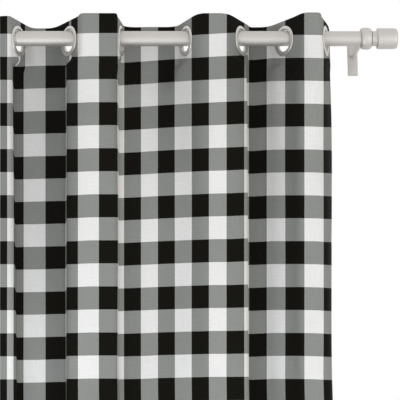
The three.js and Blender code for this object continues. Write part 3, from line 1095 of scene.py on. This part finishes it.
class CURTAIN_OT_eyelets(bpy.types.Operator):
    """Presses a metal eyelet into each hole of the cloth"""

    bl_idname = "curtain.eyelets"
    bl_label = "Eyelets"

    def execute(self, context):
        groove = SHEET / 2 + GAP
        face = EYELET_HALF_DEPTH
        dome = [
            (face - 2.2, EYELET_BORE, True), (face - 1.3, EYELET_BORE, False),
            (face - 0.2, EYELET_BORE + 1.4, False), (face, EYELET_BORE + 4, False),
            (face - 0.7, EYELET_RIM - 0.6, False), (groove, EYELET_RIM, False), (groove, EYELET_BARREL, True),
        ]
        right = rounded(dome, 1.4)
        left = [(-x, radius) for x, radius in right]
        profile = [*left, *reversed(right), left[0]]
        ring = add_object("one_eyelet", lathe("one_eyelet", profile, sizes().turned_sides))
        work = bmesh.new()
        turn = work.verts.layers.float.new("turn")
        for i, wall in enumerate(WALLS):
            spot = work.verts.new(Vector((wall[0], -REACH, EYELET_CENTRE)) * MM)
            spot[turn] = to_room(i) * math.radians(wall[1])
        eyelets = add_object("curtain_eyelets", finished(work, "eyelet_places"))
        metal = metal_material("eyelet_satin", finish().eyelet_metal, finish().eyelet_roughness, 0.05)
        run_tree(eyelets, ring_tree(), ring=ring, finish=metal)
        bpy.data.objects.remove(ring)
        with_sharp_edges(eyelets.data, 40)
        dress(eyelets, metal)
        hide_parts(*[f"eyelet_{i + 1}" for i in range(len(WALLS))])
        return {"FINISHED"}


def rod_metal():
    return bpy.data.materials.get("rod_satin") or metal_material(
        "rod_satin", finish().rod_metal, finish().rod_roughness, 0.08)


class CURTAIN_OT_rod(bpy.types.Operator):
    """Makes the rod, a thin tube from bracket to bracket"""

    bl_idname = "curtain.rod"
    bl_label = "Rod"

    def execute(self, context):
        inner = ROD_RADIUS - ROD_WALL
        section = [
            (-ROD_END, inner), (-ROD_END, ROD_RADIUS - 0.4), (-ROD_END + 0.4, ROD_RADIUS),
            (ROD_END - 0.4, ROD_RADIUS), (ROD_END, ROD_RADIUS - 0.4), (ROD_END, inner), (-ROD_END, inner),
        ]
        mesh = lathe("curtain_rod", section, sizes().turned_sides)
        rod = add_object("curtain_rod", moved(mesh, Matrix.Translation((0, -REACH * MM, 0))))
        with_sharp_edges(mesh, 35)
        dress(rod, rod_metal())
        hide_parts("rod")
        return {"FINISHED"}


class CURTAIN_OT_end_caps(bpy.types.Operator):
    """Turns the two end caps, each with a plug, a hollow neck and a rounded cap"""

    bl_idname = "curtain.end_caps"
    bl_label = "End Caps"

    def execute(self, context):
        plug = ROD_RADIUS - ROD_WALL - GAP
        neck = ROD_END + GAP
        corners = [
            (366, 0, True), (366, plug, False), (neck, plug, True), (neck, 13.4, False), (388.1, 12.7, False),
            (394.2, 12.7, False), (396, 14.2, True), (396, 17.0, False), (396.7, 17.7, False),
            (425, 17.6, False), (428.8, 16.5, False), (430.2, 14.2, False), (430.5, 10.8, False),
            (430.5, 0, True),
        ]
        profile = rounded(corners, 1.6)
        for side, mirror in (("right", 1), ("left", -1)):
            mesh = lathe(f"end_cap_{side}_turned", profile, sizes().turned_sides)
            place = Matrix.Translation((0, -REACH * MM, 0)) @ Matrix.Diagonal((mirror, 1, 1, 1))
            cap = add_object(f"end_cap_{side}_turned", moved(mesh, place))
            with_sharp_edges(mesh, 50)
            dress(cap, rod_metal())
            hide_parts(f"end_cap_{side}")
        return {"FINISHED"}


class CURTAIN_OT_brackets(bpy.types.Operator):
    """Makes the two wall brackets, each a plate, a round arm and a ring for the rod"""

    bl_idname = "curtain.brackets"
    bl_label = "Brackets"

    def holder(self):
        bore = ROD_RADIUS + GAP
        outer = [
            (368.1, bore, True), (368.1, 16.2, False), (369.1, 17.3, False), (371.8, 18.3, False),
            (376.8, 18.7, False), (381.8, 18.3, False), (384.5, 17.3, False), (385.5, 16.2, False),
            (385.5, bore, True),
        ]
        profile = [*rounded(outer, 1.8), (368.1, bore)]
        return moved(lathe("holder", profile, sizes().turned_sides), Matrix.Translation((0, -REACH * MM, 0)))

    def arm(self):
        """The round arm, which flares a little where it meets the plate and the ring."""
        back = -PLATE_DEPTH + 0.5
        front = -REACH + ROD_RADIUS + GAP + 2
        flares = [
            (back, 1.14), (back - 1.2, 1.05), (back - 3, 1.0),
            (front + 5, 1.0), (front + 2, 1.06), (front, 1.12),
        ]
        profile = [(back, 0), *((y, ARM_RADIUS * share) for y, share in flares), (front, 0)]
        turn = Matrix.Translation((ARM_X * MM, 0, 0)) @ Matrix.Rotation(math.radians(90), 4, "Z")
        return moved(lathe("arm", profile, sizes().turned_sides // 2), turn)

    def plate(self):
        work = bmesh.new()
        bmesh.ops.create_cube(work, size=1)
        bmesh.ops.scale(work, vec=(PLATE_WIDTH * MM, PLATE_DEPTH * MM, PLATE_HEIGHT * MM), verts=work.verts)
        bmesh.ops.translate(work, vec=(ARM_X * MM, -PLATE_DEPTH * MM / 2, 0), verts=work.verts)
        front = [e for e in work.edges if max(v.co.y for v in e.verts) < -PLATE_DEPTH * MM * 0.5]
        bmesh.ops.bevel(work, geom=front, offset=1.5 * MM, segments=5, profile=0.5, affect="EDGES")
        upright = [e for e in work.edges if e.calc_length() > 5 * MM
                   and abs(e.verts[0].co.z - e.verts[1].co.z) < 1e-6 and e.verts[0].co.y != e.verts[1].co.y]
        bmesh.ops.bevel(work, geom=upright, offset=1.2 * MM, segments=4, profile=0.5, affect="EDGES")
        return finished(work, "plate")

    def execute(self, context):
        for side, mirror in (("right", 1), ("left", -1)):
            work = bmesh.new()
            for mesh in (self.plate(), self.arm(), self.holder()):
                work.from_mesh(mesh)
                bpy.data.meshes.remove(mesh)
            whole = finished(work, f"bracket_{side}_cast")
            bracket = add_object(f"bracket_{side}_cast", moved(whole, Matrix.Diagonal((mirror, 1, 1, 1))))
            with_sharp_edges(whole, 35)
            dress(bracket, rod_metal())
            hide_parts(f"bracket_{side}")
        return {"FINISHED"}


class CURTAIN_OT_studio(bpy.types.Operator):
    """Sets up the pale floor, the soft lights and the camera"""

    bl_idname = "curtain.studio"
    bl_label = "Studio"

    def light(self, name, place, aim, size, power, colour=(1, 1, 1)):
        lamp = bpy.data.lights.new(name, "AREA")
        lamp.shape = "RECTANGLE"
        lamp.size, lamp.size_y = size
        lamp.energy = power
        lamp.color = colour
        made = add_object(name, lamp)
        made.location = place
        made.rotation_euler = (Vector(aim) - Vector(place)).to_track_quat("-Z", "Y").to_euler()
        made.visible_camera = False

    def execute(self, context):
        scene = context.scene
        floor_z = CAD_BOX[0][2] - 0.03
        floor_mesh = bpy.data.meshes.new("studio_floor")
        floor_mesh.from_pydata(
            [(-6, -6, floor_z), (6, -6, floor_z), (6, 6, floor_z), (-6, 6, floor_z)], [], [(0, 1, 2, 3)])
        floor = add_object("studio_floor", floor_mesh)
        floor_mesh.materials.append(floor_material())

        world = bpy.data.worlds.new("white_studio")
        world.use_nodes = True
        tree = world.node_tree
        tree.nodes.clear()
        # The sky lights the curtain with its own strength, and shows as plain white behind it
        path = tree.nodes.new("ShaderNodeLightPath")
        mix = tree.nodes.new("ShaderNodeMixShader")
        out = tree.nodes.new("ShaderNodeOutputWorld")
        tree.links.new(path.outputs["Is Camera Ray"], mix.inputs[0])
        for k, strength in enumerate((studio().sky, 1.0), 1):
            sky = tree.nodes.new("ShaderNodeBackground")
            sky.inputs["Color"].default_value = (1, 1, 1, 1)
            sky.inputs["Strength"].default_value = strength
            tree.links.new(sky.outputs[0], mix.inputs[k])
        tree.links.new(mix.outputs[0], out.inputs[0])
        scene.world = world
        scene.view_settings.view_transform = "Standard"
        scene.view_settings.look = "None"

        powers = studio().key_power, studio().low_power
        self.light("key_light", (2.4, -2.9, -0.95), (0, -0.1, -0.75), (2.4, 1.6), powers[0])
        self.light(
            "low_light", (-0.45, -1.3, -1.35), (-0.25, -0.1, -0.65), (0.7, 0.7), powers[1], (0.8, 0.88, 1))

        right, up, view = camera_axes()
        lens = bpy.data.cameras.new("camera")
        lens.sensor_fit = "HORIZONTAL"
        lens.sensor_width = SENSOR
        lens.lens = FOCAL_PIXELS * SENSOR / FRAME_SIZE
        lens.clip_start = 0.05
        lens.clip_end = 60
        camera = add_object("camera", lens)
        turn = Matrix((right, up, -view)).transposed().to_4x4()
        camera.matrix_world = Matrix.Translation(Vector(CAMERA_PLACE) * MM) @ turn
        scene.camera = camera
        return {"FINISHED"}


class CURTAIN_PT_panel(bpy.types.Panel):
    """Lists the curtain's pieces and settings"""

    bl_idname = "CURTAIN_PT_panel"
    bl_label = "Eyelet Curtain"
    bl_space_type = "VIEW_3D"
    bl_region_type = "UI"
    bl_category = "Curtain"

    def draw(self, context):
        layout = self.layout
        for group in (sizes(), finish(), studio()):
            box = layout.box()
            for name in group.bl_rna.properties.keys():
                if name not in ("rna_type", "name"):
                    box.prop(group, name)
        for operator in OPERATORS:
            layout.operator(operator.bl_idname)


OPERATORS = (
    CURTAIN_OT_rod,
    CURTAIN_OT_cloth,
    CURTAIN_OT_stitches,
    CURTAIN_OT_eyelets,
    CURTAIN_OT_end_caps,
    CURTAIN_OT_brackets,
    CURTAIN_OT_studio,
)
GROUPS = {"curtain_sizes": CurtainSizes, "curtain_finish": CurtainFinish, "curtain_studio": CurtainStudio}


def register():
    for group in GROUPS.values():
        bpy.utils.register_class(group)
    for name, group in GROUPS.items():
        setattr(bpy.types.Scene, name, bpy.props.PointerProperty(type=group))
    for operator in OPERATORS:
        bpy.utils.register_class(operator)
    bpy.utils.register_class(CURTAIN_PT_panel)


def unregister():
    bpy.utils.unregister_class(CURTAIN_PT_panel)
    for operator in reversed(OPERATORS):
        bpy.utils.unregister_class(operator)
    for name, group in GROUPS.items():
        delattr(bpy.types.Scene, name)
        bpy.utils.unregister_class(group)


def main():
    register()
    for operator in OPERATORS:
        space, action = operator.bl_idname.split(".")
        getattr(getattr(bpy.ops, space), action)()


if __name__ == "__main__":
    main()
